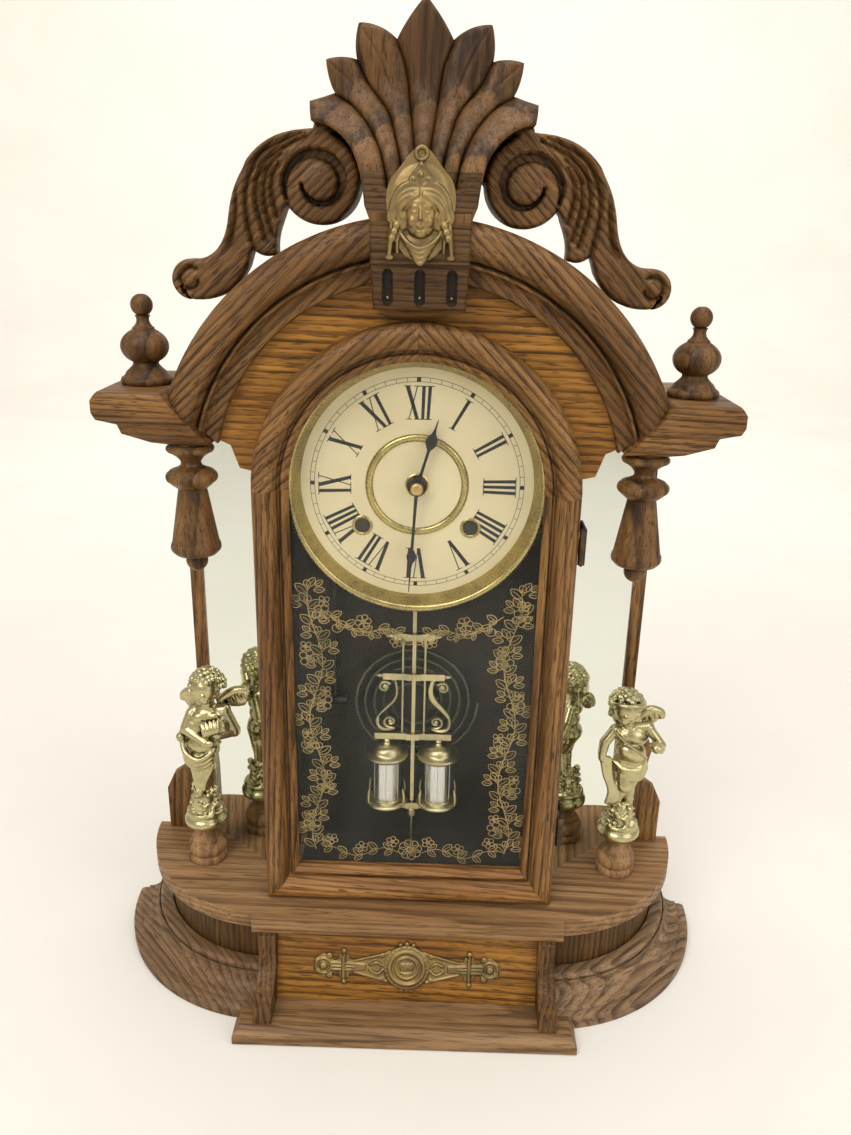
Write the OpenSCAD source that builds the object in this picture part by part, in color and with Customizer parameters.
// Parlour shelf clock with a mirrored back, carved crest, glazed door,
// eight-day time and strike movement and a two-jar lyre pendulum.
// Frame: +X right, +Y back, +Z up, origin under the centre of the base.

/* [Case] */
// Overall width across the base mouldings
overall_w = 432; // [428:1:440]
// Overall depth, front step to backboard
overall_d = 142; // [142:1:146]
// Height of the crest tip
overall_h = 622; // [616:1:632]
// Height of the deck's top face
deck_z = 71.5; // [71:0.5:72]
// Thickness of the deck
deck_t = 12; // [10:1:13]
// Radius of the deck's quarter-round ends
deck_end_r = 100; // [98:1:102]
// Thickness of the case boards
board_t = 8; // [7:0.5:8]
// Half width of the cornice
cornice_half = 185; // [183:1:190]
// Height of the cornice's top face
cornice_top = 418; // [416:1:419]

/* [Door] */
// Half width of the glazed opening
opening_half = 76; // [75:0.5:76]
// Width of the door's moulded frame
frame_w = 21.6; // [21:0.1:22]
// Radius of the hinge knuckles
knuckle_r = 2.2; // [2:0.1:2.4]

/* [Dial] */
// Height of the dial centre
dial_z = 361; // [360:1:362]
// Radius of the dial seen inside the bezel
dial_r = 70; // [69:0.5:71]
// Half distance between the two winding holes
winding_x = 33.4; // [33.2:0.1:33.6]
// Depth of the winding holes below the dial centre
winding_drop = 26.3; // [26.1:0.1:26.5]
// Length of the minute hand
minute_len = 66; // [62:1:67]
// Length of the hour hand
hour_len = 43; // [40:1:46]

/* [Movement] */
// Teeth on each main wheel
main_teeth = 66; // [66:1:66]
// Teeth on the second wheel
second_teeth = 60; // [60:1:60]
// Teeth on the centre and third wheels
fine_teeth = 72; // [72:1:72]
// Teeth on the escape wheel
escape_teeth = 48; // [46:2:48]
// Radius of the gong's outer turn
gong_r = 46; // [44:1:46]
// Height of the pendulum's pivot
pivot_z = 341; // [341:1:341]

/* [Hidden] */
$fn = 96;

// Wood and metal colours
oak = [0.36, 0.22, 0.12];
golden_oak = [0.56, 0.36, 0.16];
deck_oak = [0.42, 0.31, 0.22];
brass = [0.72, 0.58, 0.30];
old_brass = [0.48, 0.38, 0.20];
gilt = [0.82, 0.74, 0.45];
steel = [0.35, 0.35, 0.37];

// Planes from front to back
back_y = overall_d / 2;
front_y = -overall_d / 2;
backboard_t = 6;
backboard_y = back_y - backboard_t;
door_front = -12;
door_back = 5.7;
board_front = 6;
board_back = 15;
dial_y = board_back;
plate_front_y = 28.5;
plate_back_y = 59;
plate_t = 1.5;
rod_y = 21;

// Base
wall_r = 90;
quarter_x = 95;
molding_r = overall_w / 2 - quarter_x;
bracket_x = 100;
bracket_t = 12;
step_half = 113.5;
step_top = 12;
base_back = -14;
deck_bottom = deck_z - deck_t;
deck_front = -34;
panel_foot = [-41.6, step_top];
panel_head = [-30, deck_bottom];
panel_lean = atan2(panel_head[0] - panel_foot[0], panel_head[1] - panel_foot[1]);

// Case and door
case_half = 92;
case_top_z = 448;
arch_in = 123;
arch_out = 156.5;
arch_front = -12;
arch_back = 27;
tympanum_r = 150;
cornice_z = 386.6;
cornice_front = -19;
door_half = opening_half + frame_w;
door_foot = deck_z + 1;
hinge_x = door_half + knuckle_r;
hinge_y = door_front + 1;
hinge_len = 22;
hinge_heights = [120, 320];
rebate = 5;
glass_y = -4;
glass_t = 2;

// Crest
key_front = -17;
key_foot = 466;
key_waist = 490;
key_join = 511.3;
key_shoulder = 517.6;
key_foot_half = 25.5;
key_half = 26.9;
key_head_half = 30;
crest_y = 10;
crest_t = 16;
volute = [56.5, 531.5];
volute_r = 22.7;
curl = [131.5, 478.2];
curl_r = 11.2;

// Train: every place is [x, z] from the dial centre
coarse = 2 / 3;
fine = 0.5;
coarse_pins = 12;
fine_pins = 8;
main_r = main_teeth * coarse / 2;
second_r = second_teeth * coarse / 2;
fine_r = fine_teeth * fine / 2;
coarse_pin_r = coarse_pins * coarse / 2;
fine_pin_r = fine_pins * fine / 2;
center = [0, 0];
time_main = [winding_x, -winding_drop];
strike_main = [-winding_x, -winding_drop];
second = meeting(time_main, main_r + coarse_pin_r, center, second_r + coarse_pin_r);
escape = [0, -38];
third = meeting(center, fine_r + fine_pin_r, escape, fine_r + fine_pin_r);
pin_teeth = 54;
warning_teeth = 42;
pin_wheel_at = strike_main + (main_r + coarse_pin_r) * [cos(94), sin(94)];
warning_at = pin_wheel_at + (pin_teeth * coarse / 2 + coarse_pin_r) * [cos(75), sin(75)];
fly_at = warning_at + [0, warning_teeth * coarse / 2 + coarse_pin_r];
hammer_at = [-57, -10];
verge_at = [0, pivot_z - dial_z];
motion_x = [0, 12];
escape_r = 14;
running = 0.05;
pivot_r = 0.8;
winding_r = 2.2;
center_r = 1.5;
pipe_r = 2;

// Pendulum
rod_foot = 84;
thread_r = 0.7;
thread_top = 132;
bar_tops = [258, 229, 184, 129.5];
bar_halves = [13.2, 20.5, 26.2, 26.2];
jar_x = 17.7;
jar_r = 9.3;
cap_r = 14.8;

// The point at distance ra from a and rb from b, to the right of the line from a to b
function meeting(a, ra, b, rb) =
    let (d = norm(b - a), along = (ra * ra - rb * rb + d * d) / (2 * d),
         across = sqrt(ra * ra - along * along), u = (b - a) / d)
    a + along * u + across * [u[1], -u[0]];
// The direction from a to b, in degrees
function heading(a, b) = atan2(b[1] - a[1], b[0] - a[0]);
// Points along a cubic curve
function curve(p, n) = [for (i = [0 : n]) let (t = i / n, s = 1 - t)
    s * s * s * p[0] + 3 * s * s * t * p[1] + 3 * s * t * t * p[2] + t * t * t * p[3]];

// A symmetrical outline from the points on its right half
function whole(half) = concat(half,
    [for (i = [len(half) - 1 : -1 : 0]) if (half[i][0] > 0) [-half[i][0], half[i][1]]]);

// Draws an XZ outline as a slab from y0 to y1
module slab(y0, y1) {
    translate([0, y1, 0]) rotate([90, 0, 0]) linear_extrude(y1 - y0) children();
}
// Draws a YZ outline as a bar from x0 to x1
module bar(x0, x1) {
    translate([x0, 0, 0]) rotate([90, 0, 90]) linear_extrude(x1 - x0) children();
}
// A copy on the other side of the clock
module other_side() {
    mirror([1, 0, 0]) children();
}
module both_sides() {
    children();
    mirror([1, 0, 0]) children();
}
// Moves to a place in the movement, given from the dial centre
module at(p) {
    translate([p[0], 0, dial_z + p[1]]) children();
}
// A disc or arbor along Y
module disc(r, y0, y1) {
    translate([0, y1, 0]) rotate([90, 0, 0]) cylinder(r = r, h = y1 - y0);
}

// ---------- Base ----------
module front_step() {
    color(deck_oak) difference() {
        intersection() {
            slab(front_y, base_back) polygon([[-step_half, 0], [step_half, 0], [step_half, 5],
                [step_half - 4, step_top], [4 - step_half, step_top], [-step_half, 5]]);
            bar(-step_half, step_half) polygon([[front_y, 0], [base_back, 0],
                [base_back, step_top],
                [front_y + 5, step_top], [front_y, 8]]);
        }
        both_sides() intersection() {
            translate([quarter_x, back_y, -1]) cylinder(r = molding_r + 0.1, h = step_top + 2);
            translate([bracket_x, -80, -1]) cube([40, 80, step_top + 2]);
        }
    }
}
module quarter_ring(profile) {
    intersection() {
        translate([quarter_x, back_y, 0]) rotate([0, 0, -90]) rotate_extrude(angle = 90)
            polygon(profile);
        translate([bracket_x, -100, 0]) cube([160, 200, 100]);
    }
}
module base_molding() {
    color(oak) quarter_ring([[wall_r, 0], [molding_r, 0], [molding_r, 5], [molding_r - 1.5, 9],
        [molding_r - 5, 11], [molding_r - 6.5, 9.5], [molding_r - 8, 11], [molding_r - 10, 17],
        [molding_r - 14, 21.5], [molding_r - 19, 24], [molding_r - 21, 22.5],
        [molding_r - 23, 25], [molding_r - 27, 27], [wall_r, 27]]);
}
module base_molding_right() { base_molding(); }
module base_molding_left() { other_side() base_molding(); }
module base_walls() {
    color([0.2, 0.12, 0.07]) both_sides() quarter_ring([[wall_r - 9, 0], [wall_r, 0],
        [wall_r, deck_bottom], [wall_r - 9, deck_bottom]]);
    // board across the back, between the two curved walls
    color([0.2, 0.12, 0.07]) translate([-175, back_y - board_t, 0])
        cube([350, board_t, deck_bottom]);
}
module base_panel() {
    color(golden_oak) bar(bracket_t - bracket_x, bracket_x - bracket_t) polygon([panel_foot,
        panel_foot + [board_t, 0], panel_head + [board_t, 0], panel_head]);
}
module base_ornament() {
    mid = (panel_foot + panel_head) / 2;
    color(old_brass) translate([0, mid[0], mid[1]]) rotate([90 - panel_lean, 0, 0])
        union() {
            cylinder(r = 17, h = 2.4);
            cylinder(r = 12, h = 3.4);
            cylinder(r = 4, h = 4.6);
            linear_extrude(2) both_sides() {
                polygon([[14, -8], [26, -3], [36, -5], [40, -9], [44, -5], [52, -4], [62, -2],
                    [62, 2], [52, 4], [44, 5], [40, 9], [36, 5], [26, 3], [14, 8]]);
                translate([54, 0]) circle(r = 6.5);
            }
        }
}
module base_brackets() {
    foot_y = -65;
    head_y = -38;
    front = concat([[head_y, deck_bottom], [head_y, 50]],
        curve([[head_y, 46], [head_y - 1, 32], [head_y - 9, 28], [foot_y, 25]], 8),
        [[foot_y, step_top], [base_back, step_top], [base_back, deck_bottom]]);
    color(oak) both_sides() bar(bracket_x - bracket_t, bracket_x) polygon(front);
}
module deck() {
    depth = back_y - deck_front;
    color(deck_oak) translate([0, 0, deck_bottom]) union() {
        translate([-105, deck_front, 0]) cube([210, depth, deck_t]);
        intersection() {
            both_sides() translate([quarter_x, back_y, 0]) cylinder(r = deck_end_r, h = deck_t);
            translate([-220, deck_front, 0]) cube([440, depth, deck_t]);
        }
    }
}

// ---------- Case ----------
module backboard() {
    color(oak) slab(backboard_y, back_y) polygon(whole([[186, deck_z], [186, 106], [180, 119],
        [171, 125.5], [175.5, 151], [168, 169], [158, 178], [158, cornice_top - 2],
        [110, cornice_top - 2], [110, case_top_z + board_t]]));
}
module case_sides() {
    color(oak) both_sides() translate([case_half - board_t, board_back, deck_z])
        cube([board_t, backboard_y - board_back, case_top_z - deck_z]);
}
module case_top() {
    color(oak) translate([-case_half, board_back, case_top_z])
        cube([2 * case_half, backboard_y - board_back, board_t]);
}
module front_board() {
    color(golden_oak) slab(board_front, board_back) difference() {
        union() {
            intersection() {
                translate([0, dial_z]) circle(r = tympanum_r);
                translate([-160, cornice_z]) square([320, 200]);
            }
            polygon([[-98, 368], [98, 368], [107, 370], [112, 384], [120, cornice_z + 1],
                [-120, cornice_z + 1], [-112, 384], [-107, 370]]);
        }
        translate([0, dial_z]) circle(r = opening_half + 4);
    }
}
module front_stiles() {
    color(oak) both_sides() translate([opening_half + 4, board_front, deck_z])
        cube([17, board_back - board_front, 368 - deck_z]);
}
module mirror_pane() {
    color([0.75, 0.8, 0.82]) translate([0, 0, deck_z]) linear_extrude(cornice_z - deck_z)
        polygon([[case_half, 16], [case_half, 20], [144.4, backboard_y], [149, backboard_y]]);
}
module mirror_right() { mirror_pane(); }
module mirror_left() { other_side() mirror_pane(); }
module arch_molding() {
    // The profile runs from the plain inner edge, over a cove, to the big outer round
    cove = [[arch_in, board_front], [arch_in, 1], [arch_in + 4, -1], [arch_in + 6, -1],
        [arch_in + 7, -4], [arch_in + 11, -6], [arch_in + 13, -6], [arch_in + 14, -8]];
    round_part = curve([[arch_in + 15, -8], [arch_in + 19, arch_front - 4],
        [arch_out, arch_front - 3], [arch_out, 4]], 10);
    color(oak) difference() {
        translate([0, 0, dial_z]) rotate([90, 0, 0]) rotate_extrude(angle = 180) mirror([0, 1])
            polygon(concat(cove, round_part, [[arch_out, arch_back],
                [tympanum_r, arch_back], [tympanum_r, board_front]]));
        // the seat of the keystone
        translate([-27, -40, 400]) cube([54, 90, 200]);
        // the mitres where the arch lands on the cornice
        slab(-40, 60) both_sides() polygon([[90, 340], [200, 340], [200, cornice_top],
            [146, cornice_top], [120.5, cornice_z], [90, 349]]);
    }
}
// The cornice return: stepped under its end and its front, with a rounded top lip
module cornice() {
    drop = cornice_top - cornice_z;
    function steps(edge, s) = concat(
        [[edge, cornice_top - 2], [edge + 2 * s, cornice_top - 5],
         [edge + 2 * s, cornice_top - 12], [edge, cornice_top - 16],
         [edge - 4 * s, cornice_top - 17],
         [edge - 11 * s, cornice_top - 19],
         [edge - 13 * s, cornice_top - 24.4], [edge - 22 * s, cornice_top - 27.7],
         [edge - 28 * s, cornice_top - 30], [edge - 36 * s, cornice_z]]);
    color(oak) intersection() {
        slab(-60, back_y) polygon(concat([[120.5, cornice_z], [146, cornice_top],
            [cornice_half - 4, cornice_top]], steps(cornice_half - 2, 1)));
        bar(100, 200) polygon(concat([[back_y, cornice_z], [back_y, cornice_top],
            [cornice_front + 1, cornice_top]], steps(cornice_front, -0.3)));
    }
}
module cornice_clear() {
    difference() {
        cornice();
        // room for the tympanum, the mirror's top and the backboard
        slab(board_front, board_back) intersection() {
            translate([0, dial_z]) circle(r = tympanum_r);
            translate([90, cornice_z - 1]) square([100, 60]);
        }
        translate([100, backboard_y, cornice_z - 1]) cube([58, 20, cornice_top - cornice_z - 1]);
    }
}
module cornice_right() { cornice_clear(); }
module cornice_left() { other_side() cornice_clear(); }
module keystone() {
    foot = [[key_foot_half, key_foot], [key_half, key_waist]];
    body = [[key_half, key_waist], [key_half, key_join]];
    neck = [[key_half, key_join - 0.1], [key_half, key_shoulder + 0.4]];
    face = [[key_head_half, key_waist + 2], [key_head_half, key_shoulder + 0.4]];
    head = [[key_head_half, key_shoulder], [key_head_half, 541], [25, 548]];
    color(oak) difference() {
        union() {
            slab(key_front + 2, board_front) polygon(whole(foot));
            slab(key_front, board_front) polygon(whole(body));
            slab(key_front, crest_y) polygon(whole(neck));
            slab(key_front, crest_y) polygon(whole(head));
            slab(key_front, arch_front - 4) polygon(whole(face));
        }
        for (x = [-17.5, 0, 17.5])
            translate([x - 3, key_front, key_foot + 2]) cube([6, 5, 19]);
        slab(board_front, board_back + 1) translate([0, dial_z]) circle(r = tympanum_r + 0.3);
    }
}
module mask_ornament() {
    half = concat([[0, 490], [9, 494], [17, 500]],
        curve([[17, 505], [19, 520], [17, 538], [0, 549]], 8));
    color(old_brass) union() {
        slab(key_front - 2.5, key_front) polygon(whole(half));
        intersection() {
            translate([0, key_front, 517]) sphere(r = 13, $fn = 48);
            translate([-20, key_front - 9, 500]) cube([40, 9, 40]);
        }
    }
}

// ---------- Crest ----------
module crest_fan() {
    half = concat([[0, overall_h], [8, overall_h - 8], [15, 602], [22, 607], [35, 608.5],
        [36, 591.5], [52.5, 591.5], [51, 582], [48, 575], [61, 572], [60, 561]],
        curve([[60, 561], [46, 560], [34, 548], [31.5, 530]], 6),
        [[key_head_half, key_shoulder], [key_half, key_shoulder], [key_half, key_join]]);
    color(oak) slab(crest_y + 0.02, crest_y + crest_t) polygon(whole(half));
}
module crest_scroll() {
    outer = concat(curve([[56, 558], [92, 560], [105, 538], [109, 512]], 8),
        curve([[109, 512], [111, 499], [117, 489], [130, 489]], 6));
    inner = concat(curve([[130, 467.2], [112, 466], [103, 476], [97, 489]], 6),
        curve([[95, 495], [91, 499], [87, 496], [83, 494.5]], 4),
        curve([[83, 494.5], [82, 506], [77, 511], [71, 521]], 5));
    color(oak) difference() {
        union() {
            slab(crest_y, crest_y + crest_t) polygon(concat(outer, inner, [[56, 531]]));
            slab(crest_y, crest_y + crest_t) translate(volute) circle(r = volute_r);
            slab(crest_y, crest_y + crest_t) translate(curl) circle(r = curl_r);
            slab(crest_y, crest_y + crest_t)
                polygon([[36, 535], [56, 520], [56, 558], [44, 556]]);
        }
        slab(crest_y - 1, crest_y + crest_t + 1) polygon(concat([[60.2, 561]],
            curve([[60.2, 561], [46, 560.2], [34.2, 548], [31.7, 530]], 6), [[30, 580]]));
        slab(crest_y - 1, arch_back) translate([0, dial_z]) circle(r = arch_out);
        slab(crest_y - 1, crest_y + 4) translate(volute) difference() {
            circle(r = volute_r - 6);
            circle(r = 10.6);
        }
    }
}
module crest_scroll_right() { crest_scroll(); }
module crest_scroll_left() { other_side() crest_scroll(); }
module finials() {
    z0 = cornice_top;
    color(oak) both_sides() translate([162, 16, 0]) rotate_extrude() polygon(concat(
        [[0, z0], [14.6, z0], [15, z0 + 3], [14, z0 + 6], [10, z0 + 9], [7.8, z0 + 12],
         [9, z0 + 14]], curve([[9, z0 + 14], [14.5, z0 + 18], [16, z0 + 25], [7, z0 + 31]], 6),
        [[5, z0 + 34], [3.6, z0 + 38]],
        [for (a = [-50 : 20 : 70]) [6.3 * cos(a), z0 + 45.2 + 6.3 * sin(a)]],
        [[0, z0 + 51.5]]));
}
module drops() {
    z0 = cornice_z;
    color(oak) both_sides() translate([135, 1, 0]) rotate_extrude() polygon(concat(
        [[0, z0], [9, z0], [9, z0 - 1.5], [13.6, z0 - 3], [13.6, z0 - 6], [8, z0 - 9],
         [6, z0 - 12.6], [8, z0 - 15], [15.4, z0 - 18.5], [15.4, z0 - 23.5], [10, z0 - 27.5],
         [8.2, z0 - 29], [14.9, z0 - 67], [12, z0 - 69.6], [4, z0 - 70]],
        [for (a = [60 : -20 : -60]) [6.6 * cos(a), z0 - 74 + 6.6 * sin(a)]],
        [[0, z0 - 80.6]]));
}
module pedestals() {
    color(oak) both_sides() translate([148.6, 31, deck_z]) rotate_extrude() polygon([[0, 0],
        [13.4, 0], [13.4, 3.5], [10.5, 6], [9.5, 11], [11.5, 14], [11.5, 16], [9, 19],
        [10.5, 24], [12.8, 27], [12.8, 31], [0, 31]]);
}
// A gilt winged child on a draped mound: base disc, mound, legs, body, head, arms and wings
module cupid() {
    translate([148.6, 31, deck_z + 31]) color(gilt) union() {
        cylinder(r1 = 12, r2 = 14.4, h = 5);
        cylinder(r1 = 14.4, r2 = 9, h = 12);
        cylinder(r1 = 10.5, r2 = 7.5, h = 28);
        translate([-2.5, 0, 24]) rotate([0, 3, 0]) cylinder(r1 = 4.5, r2 = 6.5, h = 32);
        translate([2.5, 1, 24]) rotate([0, -3, 0]) cylinder(r1 = 4.5, r2 = 6.5, h = 32);
        translate([0, 0, 50]) cylinder(r1 = 9.5, r2 = 10.5, h = 16);
        translate([0, 0, 62]) cylinder(r1 = 8.5, r2 = 11.5, h = 30);
        translate([-9, -2, 88]) rotate([160, 0, -20]) cylinder(r = 3.1, h = 20);
        translate([9, -2, 88]) rotate([155, 0, 20]) cylinder(r = 3.1, h = 20);
        translate([0, -7, 68]) cylinder(r1 = 6, r2 = 7.5, h = 10);
        translate([0, 0, 88]) cylinder(r = 4.5, h = 14);
        translate([-1, -2, 111.6]) sphere(r = 12.9, $fn = 48);
        translate([-2, 6, 80]) slab(0, 3) both_sides() polygon([[2, 4], [17, 14], [24, 26],
            [14, 27], [2, 16]]);
    }
}
module cupid_right() { cupid(); }
module cupid_left() { other_side() cupid(); }

// ---------- Door ----------
// Section of the door frame: u runs outwards from the glass, v from front to back
function frame_section() = concat([[0, glass_y - 0.3], [0, door_front + 6],
    [1.5, door_front + 4.5], [4, door_front + 2.5], [5.5, door_front + 4], [7, door_front + 4],
    [8, door_front + 1]],
    curve([[8, door_front + 1], [10, door_front - 6.5], [19, door_front - 6.5],
        [frame_w - 0.5, door_front]], 8),
    [[frame_w, door_front + 2], [frame_w, door_back], [rebate, door_back],
     [rebate, glass_y - 0.3]]);
module door_arch() {
    color(oak) translate([0, 0, dial_z]) rotate([90, 0, 0]) rotate_extrude(angle = 180)
        mirror([0, 1]) polygon([for (p = frame_section()) [opening_half + p[0], p[1]]]);
}
module door_stile() {
    color(oak) difference() {
        translate([opening_half, 0, door_foot]) linear_extrude(dial_z - door_foot)
            polygon(frame_section());
        // mitre at the foot
        slab(-30, 10) polygon([[opening_half - 2, door_foot + frame_w + 2], [opening_half - 2, 0],
            [door_half + 2, 0], [door_half + 2, door_foot - 2]]);
    }
}
module door_stile_right() { door_stile(); }
module door_stile_left() { other_side() door_stile(); }
module door_rail() {
    color(oak) intersection() {
        bar(-door_half, door_half) polygon([for (p = frame_section())
            [p[1], door_foot + frame_w - p[0]]]);
        slab(-30, 10) polygon([[-door_half, door_foot], [door_half, door_foot],
            [opening_half - 2, door_foot + frame_w + 2],
            [2 - opening_half, door_foot + frame_w + 2]]);
    }
}
module door_glass() {
    r = opening_half + rebate - 0.3;
    color([0.5, 0.55, 0.5, 0.4]) slab(glass_y, glass_y + glass_t) union() {
        intersection() {
            translate([0, dial_z]) circle(r = r);
            translate([-r, dial_z]) square([2 * r, r]);
        }
        translate([-r, door_foot + frame_w - rebate + 0.3])
            square([2 * r, dial_z - door_foot - frame_w + rebate]);
    }
}
module hinge_knuckle(z, h) {
    translate([hinge_x, hinge_y, z]) cylinder(r = knuckle_r, h = h);
}
module door_hinges() {
    third_len = hinge_len / 3;
    color(old_brass) for (z = hinge_heights) difference() {
        union() {
            hinge_knuckle(z + third_len + 0.1, third_len - 0.2);
            // the leaf lies on the door's edge
            translate([door_half, hinge_y, z + third_len + 0.1])
                cube([1, 14, third_len - 0.2]);
        }
        translate([hinge_x, hinge_y, z]) cylinder(r = 0.9 + running, h = hinge_len);
    }
}
module case_hinges() {
    third_len = hinge_len / 3;
    color(old_brass) for (z = hinge_heights) union() {
        hinge_knuckle(z, third_len);
        hinge_knuckle(z + 2 * third_len, third_len);
        translate([hinge_x, hinge_y, z - 1]) cylinder(r = 0.9, h = hinge_len + 2);
        // the leaf runs back to the case's front stile
        for (low = [z, z + 2 * third_len]) {
            translate([hinge_x + 0.9, hinge_y, low]) cube([1.3, 20, third_len]);
            translate([97, 7.6, low]) cube([hinge_x - 95, 1.4, third_len]);
        }
    }
}

// ---------- Dial and hands ----------
module dial_plate() {
    color([0.9, 0.87, 0.74]) slab(dial_y, dial_y + 0.8) translate([0, dial_z]) difference() {
        circle(r = opening_half + 7.5);
        circle(r = 5);
        both_sides() translate([winding_x, -winding_drop]) circle(r = 4.5);
    }
}
module dial_bezel() {
    r = dial_r;
    color(brass) union() {
        at(center) rotate([90, 0, 0]) rotate_extrude() mirror([0, 1])
            polygon(concat([[r, dial_y], [r, dial_y - 1.5], [r + 4, dial_y - 5],
                [r + 4.6, dial_y - 7]],
                [for (a = [160 : -20 : 0]) [r + 7 + 2.2 * cos(a), dial_y - 7 - 2 * sin(a)]],
                [[r + 9.2, dial_y]]));
        at(center) rotate([90, 0, 0]) rotate_extrude() mirror([0, 1])
            polygon([[26.8, dial_y], [27.4, dial_y - 1], [29, dial_y - 1.4],
                [30.6, dial_y - 1], [31.2, dial_y]]);
        both_sides() at(time_main) rotate([90, 0, 0]) rotate_extrude() mirror([0, 1])
            polygon([[4.5, dial_y], [4.5, dial_y - 0.8], [6.2, dial_y - 0.6], [6.2, dial_y]]);
    }
}
module spade(length, width) {
    tail = length * 0.62;
    polygon([[-0.9, 4], [-0.55, tail], [-width * 0.35, tail + 1], [-width, tail + width * 1.3],
        [-width * 0.7, tail + width * 2.1], [0, length], [width * 0.7, tail + width * 2.1],
        [width, tail + width * 1.3], [width * 0.35, tail + 1], [0.55, tail], [0.9, 4]]);
}
hour_at = -16.3;
minute_at = -183.4;
module hour_hand() {
    color([0.05, 0.05, 0.06]) at(center) difference() {
        union() {
            slab(9, 9.6) rotate(hour_at) spade(hour_len, 3.4);
            slab(9, 9.6) circle(r = 5.2);
        }
        disc(2.9, 8, 10);
    }
}
module minute_hand() {
    color([0.05, 0.05, 0.06]) at(center) {
        slab(5.6, 6.2) difference() {
            union() {
                rotate(minute_at) spade(minute_len, 2.8);
                circle(r = 4.4);
            }
            circle(r = center_r + 0.02);
        }
        slab(3.4, 5.6) difference() {
            circle(r = 2.6);
            circle(r = center_r + 0.02);
        }
    }
}

// ---------- Movement ----------
// A toothed disc: one tooth gap lies along the given direction, or one tooth if on is 0.5
module toothed(teeth, m, toward, hole, on = 0) {
    pitch = teeth * m / 2;
    step = 360 / teeth;
    root = pitch - 1.35 * m;
    tip = pitch + 1.1 * m;
    wide = 0.21 * step;
    narrow = 0.09 * step;
    points = [for (i = [0 : teeth - 1], k = [0 : 3])
        let (mid = toward + (i + 0.5 - on) * step,
             a = mid + [-1.6 * wide, -narrow, narrow, 1.6 * wide][k],
             r = [root, tip, tip, root][k]) r * [cos(a), sin(a)]];
    difference() {
        polygon(points);
        circle(r = hole);
    }
}
// A wheel with four round lightening holes
module wheel(teeth, m, toward, hole, y0, y1) {
    web = teeth * m / 2 - 1.35 * m - 1.6;
    slab(y0, y1) difference() {
        toothed(teeth, m, toward, hole);
        for (i = [0 : 3])
            rotate(45 + 90 * i) translate([web * 0.55 + 0.6, 0]) circle(r = web * 0.33);
    }
}
// A lantern pinion: two discs and a ring of pins, one of them along the given direction
module lantern(pins, r, pin_r, toward, y0, y1) {
    disc(r + pin_r + 0.5, y0 - 0.8, y0);
    disc(r + pin_r + 0.5, y1, y1 + 0.8);
    for (i = [0 : pins - 1])
        rotate([0, -toward - 360 / pins * i, 0]) translate([r, 0, 0])
            disc(pin_r, y0 - 0.1, y1 + 0.1);
}
module arbor(r) {
    disc(pivot_r, plate_front_y - 0.4, plate_back_y + plate_t + 0.4);
    disc(r, plate_front_y + plate_t + 0.2, plate_back_y - 0.2);
}
arbors = [second, third, pin_wheel_at, warning_at, fly_at, hammer_at];
module plate_outline() {
    difference() {
        translate([-62, -58]) square([124, 110]);
        for (p = concat(arbors, [escape])) translate(p) circle(r = pivot_r + running);
        for (p = [time_main, strike_main]) translate(p) circle(r = winding_r + running);
    }
}
module front_plate() {
    color(brass) at(center) union() {
        slab(plate_front_y, plate_front_y + plate_t) difference() {
            plate_outline();
            circle(r = center_r + running);
            for (s = [-1, 1]) translate([s * 30, 8]) square([20, 10], center = true);
        }
        // stud of the minute wheel and post of the pendulum
        translate([motion_x[0], 0, motion_x[1]]) disc(1, 21, plate_front_y);
        translate([verge_at[0], 0, verge_at[1]]) disc(1, 17.5, plate_front_y);
    }
}
module back_plate() {
    color(brass) at(center) union() {
        slab(plate_back_y, plate_back_y + plate_t) difference() {
            plate_outline();
            circle(r = pivot_r + running);
        }
        for (x = [-53, 53], z = [-52, 46]) translate([x, 0, z]) {
            disc(2.6, plate_front_y + plate_t, plate_back_y);
            disc(3.4, plate_back_y + plate_t, backboard_y);
        }
    }
}
module time_main_wheel() {
    color(brass) at(time_main)
        wheel(main_teeth, coarse, heading(time_main, second), winding_r + running, 51, 53);
}
module second_wheel() {
    color(brass) at(second) {
        arbor(1.3);
        lantern(coarse_pins, coarse_pin_r, 0.35, heading(second, time_main), 50.7, 53.3);
        wheel(second_teeth, coarse, heading(second, center), 1, 55.4, 56.9);
    }
}
module center_wheel() {
    color(brass) at(center) {
        disc(center_r, 2.6, plate_back_y - 0.2);
        disc(pivot_r, plate_back_y - 0.3, plate_back_y + plate_t + 0.4);
        lantern(coarse_pins, coarse_pin_r, 0.35, heading(center, second), 55, 57.3);
        wheel(fine_teeth, fine, heading(center, third), 1.2, 31.5, 32.7);
        // cannon pinion and the pipe that carries the minute hand
        slab(25.6, 27.4) toothed(10, 0.6, heading(center, motion_x), 1.2, 0.5);
        disc(pipe_r, 6.2, 25.7);
    }
}
module third_wheel() {
    color(brass) at(third) {
        arbor(0.9);
        lantern(fine_pins, fine_pin_r, 0.28, heading(third, center), 31.1, 33.1);
        wheel(fine_teeth, fine, heading(third, escape), 0.7, 34.7, 35.9);
    }
}
module escape_wheel() {
    color(brass) at(escape) {
        disc(pivot_r, 24.4, plate_back_y + plate_t + 0.4);
        disc(0.9, plate_front_y + plate_t + 0.2, plate_back_y - 0.2);
        lantern(fine_pins, fine_pin_r, 0.28, heading(escape, third), 34.3, 36.3);
        disc(2.4, 25.2, 27.6);
        slab(25.4, 26.6) difference() {
            polygon([for (i = [0 : escape_teeth - 1], k = [0 : 2])
                let (a = (i + [0, 0.25, 1][k]) * 360 / escape_teeth, r = [escape_r, 12.2, 12.2][k])
                r * [cos(a), sin(a)]]);
            for (i = [0 : 3]) rotate(90 * i) translate([7, 0]) circle(r = 2.6);
        }
    }
}
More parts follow.
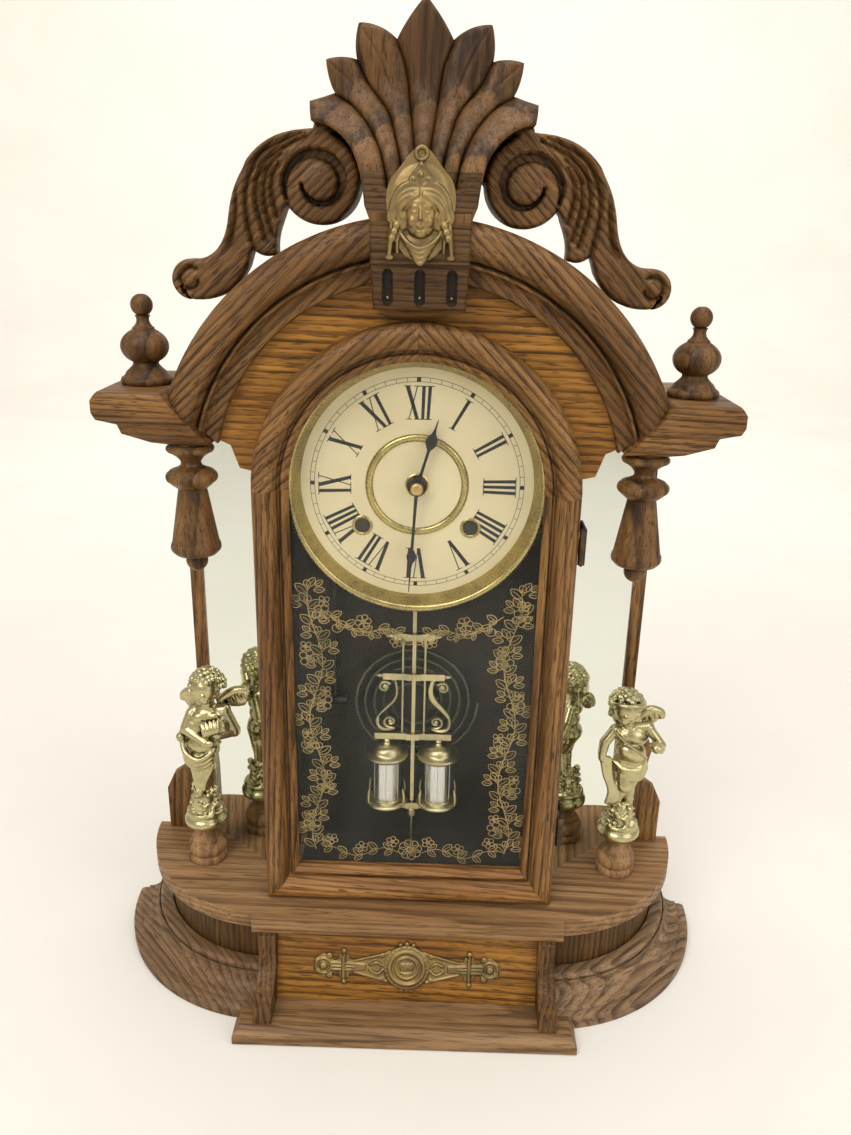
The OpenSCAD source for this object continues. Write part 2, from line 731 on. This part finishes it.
module verge() {
    // a bent strip with a pallet at each end, and the crutch whose fork holds the rod
    color(steel) at(verge_at) difference() {
        union() {
            disc(2.2, 22.4, 27.8);
            slab(25.2, 27) polygon([[-2, 1], [2, 1], [13, -5.2], [12, -8.6], [10.6, -8.6],
                [10.2, -5.4], [0, -1.8], [-10.2, -5.4], [-10.6, -8.6], [-12, -8.6],
                [-13, -5.2]]);
            slab(22.4, 23.8) polygon([[-1, 0], [1, 0], [1, -30], [2.8, -32], [2.8, -34],
                [-2.8, -34], [-2.8, -32], [-1, -30]]);
            for (x = [-2.8, 1.6]) translate([x, 19.8, -34]) cube([1.2, 4, 2]);
        }
        disc(1 + running, 20, 30);
    }
}
module minute_wheel() {
    color(brass) at(motion_x) slab(22.4, 27) difference() {
        circle(r = 1.7);
        circle(r = 1 + running);
    }
    color(brass) at(motion_x) {
        slab(25.8, 27.2) toothed(30, 0.6, heading(motion_x, center), 1.5);
        slab(22.4, 25.4) toothed(10, 0.48, heading(motion_x, center), 1 + running, 0.5);
    }
}
module hour_wheel() {
    color(brass) at(center) {
        slab(23, 24.4) toothed(40, 0.48, heading(center, motion_x), pipe_r + running);
        slab(8.4, 23.2) difference() {
            circle(r = 2.9);
            circle(r = pipe_r + running);
        }
    }
}
module winding_arbor() {
    disc(winding_r, 25, plate_back_y + plate_t + 0.4);
    slab(dial_y + 2, 25) square(3.2, center = true);
}
module time_winding_arbor() { color(steel) at(time_main) winding_arbor(); }
module strike_winding_arbor() { color(steel) at(strike_main) winding_arbor(); }
module strike_main_wheel() {
    color(brass) at(strike_main)
        wheel(main_teeth, coarse, heading(strike_main, pin_wheel_at), winding_r + running, 51, 53);
}
module pin_wheel() {
    color(brass) at(pin_wheel_at) {
        arbor(1.3);
        lantern(coarse_pins, coarse_pin_r, 0.35, heading(pin_wheel_at, strike_main), 50.7, 53.3);
        wheel(pin_teeth, coarse, heading(pin_wheel_at, warning_at), 1, 55.4, 56.9);
        for (i = [0 : 7]) rotate([0, 45 * i, 0]) translate([15, 0, 0]) disc(0.6, 57, 58.4);
        slab(56.8, 57.1) difference() {
            circle(r = 16);
            circle(r = 14);
        }
    }
}
module warning_wheel() {
    color(brass) at(warning_at) {
        arbor(1.3);
        lantern(coarse_pins, coarse_pin_r, 0.35, heading(warning_at, pin_wheel_at), 55, 57.3);
        wheel(warning_teeth, coarse, heading(warning_at, fly_at), 1, 34.7, 35.9);
    }
}
module fly() {
    color(brass) at(fly_at) {
        arbor(1.2);
        lantern(coarse_pins, coarse_pin_r, 0.35, heading(fly_at, warning_at), 34.3, 36.3);
        translate([-9, 40, -0.4]) cube([18, 12, 0.8]);
    }
}
// Two wound spring strips, each a closed spiral band
module spiral_band(r0, r1, turns, wide) {
    n = round(turns * 24);
    inner = [for (i = [0 : n]) let (a = 15 * i, r = r0 + (r1 - r0) * i / n)
        r * [cos(a), sin(a)]];
    outer = [for (i = [n : -1 : 0]) let (a = 15 * i, r = r0 + (r1 - r0) * i / n + wide)
        r * [cos(a), sin(a)]];
    polygon(concat(inner, outer));
}
module mainsprings() {
    color(steel) both_sides() at(time_main) slab(38, 49) spiral_band(3.2, 18.5, 6, 0.9);
}
module gong() {
    gong_z = 190;
    color([0.25, 0.22, 0.2]) translate([0, 0, gong_z]) union() {
        slab(55.2, 56.8) spiral_band(12, gong_r - 1.6, 5, 1.6);
        translate([9, 54, -5]) cube([8, backboard_y - 54, 10]);
    }
}
module strike_hammer() {
    head = [hammer_at[0], -171];
    color(steel) at(hammer_at) {
        disc(pivot_r, plate_front_y - 0.4, plate_back_y + plate_t + 0.4);
        disc(1.4, plate_front_y + plate_t + 0.2, plate_back_y - 0.2);
    }
    color(steel) at(head) {
        translate([0, 56, 0]) cylinder(r = 0.8, h = hammer_at[1] - head[1]);
        translate([-1.5, 56, 0]) rotate([0, 90, 0]) cylinder(r = 3.2, h = 10);
    }
}

// ---------- Pendulum ----------
module pendulum_rod() {
    color(brass) union() {
        translate([-1.2, rod_y - 0.6, thread_top - 1])
            cube([2.4, 1.2, pivot_z - 2 - thread_top]);
        translate([0, rod_y, rod_foot]) cylinder(r = thread_r, h = thread_top - rod_foot);
        // hook plate that hangs on the post
        slab(rod_y - 1, rod_y + 1) difference() {
            translate([0, pivot_z]) circle(r = 4);
            translate([0, pivot_z]) circle(r = 1 + running);
        }
    }
}
module lyre_side() {
    // one S-shaped side of the lyre, with a scroll at each end
    polygon(concat(curve([[12, 226], [6, 208], [20, 208], [23, 196]], 8),
        curve([[25.5, 196], [22, 212], [9, 208], [15, 226]], 8)));
    translate([17, 218]) circle(r = 3.6);
    translate([14, 191]) circle(r = 4.4);
    polygon(concat(curve([[23, 197], [24, 186], [18, 184.5], [12, 187]], 6),
        curve([[12, 189], [18, 187], [21, 188], [20.5, 197]], 6)));
    translate([18, 182]) square([3, 5]);
}
module pendulum_bob() {
    gap = 0.15;
    color(brass) union() {
        for (i = [0 : 3]) slab(rod_y - 1.6, rod_y + 1.6) difference() {
            translate([-bar_halves[i], bar_tops[i] - 4.2]) square([2 * bar_halves[i], 4.2]);
            translate([-1.2 - gap, bar_tops[i] - 5]) square([2.4 + 2 * gap, 6]);
        }
        for (i = [0 : 3]) translate([0, 0, bar_tops[i] - 4.2]) difference() {
            translate([-5, rod_y - 3.2, 0]) cube([10, 6.4, 4.2]);
            translate([-1.2 - gap, rod_y - 0.6 - gap, -1])
                cube([2.4 + 2 * gap, 1.2 + 2 * gap, 7]);
        }
        for (i = [0, 1], s = [-1, 1])
            translate([s * bar_halves[i], rod_y, bar_tops[i] - 2.1]) rotate([0, s * 90, 0])
                cylinder(r1 = 1.6, r2 = 0.5, h = 5);
        both_sides() {
            translate([7.4, rod_y, bar_tops[2] - 1])
                cylinder(r = 0.8, h = bar_tops[0] - bar_tops[2] - 2);
            translate([jar_x, rod_y, 0]) rotate_extrude() polygon([[0, 129.2], [11, 129.2],
                [cap_r - 1, 130.2], [cap_r, 131.4], [cap_r - 1, 132.8], [jar_r, 133.6],
                [jar_r, 165], [cap_r - 1.2, 166.2], [cap_r, 167.8], [cap_r - 1, 169.6],
                [10.5, 172], [8.5, 174.6], [3, 176], [2.5, 178.5], [1.2, 180.2], [0, 180.2]]);
            slab(rod_y - 0.8, rod_y + 0.8) lyre_side();
        }
        // rating nut under the lowest bar
        translate([0, rod_y, 125.3 - 6]) difference() {
            cylinder(r = 3.4, h = 6);
            translate([0, 0, -1]) cylinder(r = thread_r + running, h = 8);
        }
    }
}

front_step();
base_molding_left();
base_molding_right();
base_walls();
base_panel();
base_ornament();
base_brackets();
deck();
backboard();
case_sides();
case_top();
front_board();
front_stiles();
mirror_left();
mirror_right();
arch_molding();
cornice_left();
cornice_right();
keystone();
mask_ornament();
crest_fan();
crest_scroll_left();
crest_scroll_right();
finials();
drops();
pedestals();
cupid_left();
cupid_right();
door_arch();
door_stile_left();
door_stile_right();
door_rail();
door_glass();
door_hinges();
case_hinges();
dial_plate();
dial_bezel();
hour_wheel();
hour_hand();
minute_hand();
front_plate();
back_plate();
time_main_wheel();
second_wheel();
center_wheel();
third_wheel();
escape_wheel();
verge();
minute_wheel();
time_winding_arbor();
strike_main_wheel();
pin_wheel();
warning_wheel();
fly();
strike_winding_arbor();
mainsprings();
gong();
strike_hammer();
pendulum_rod();
pendulum_bob();
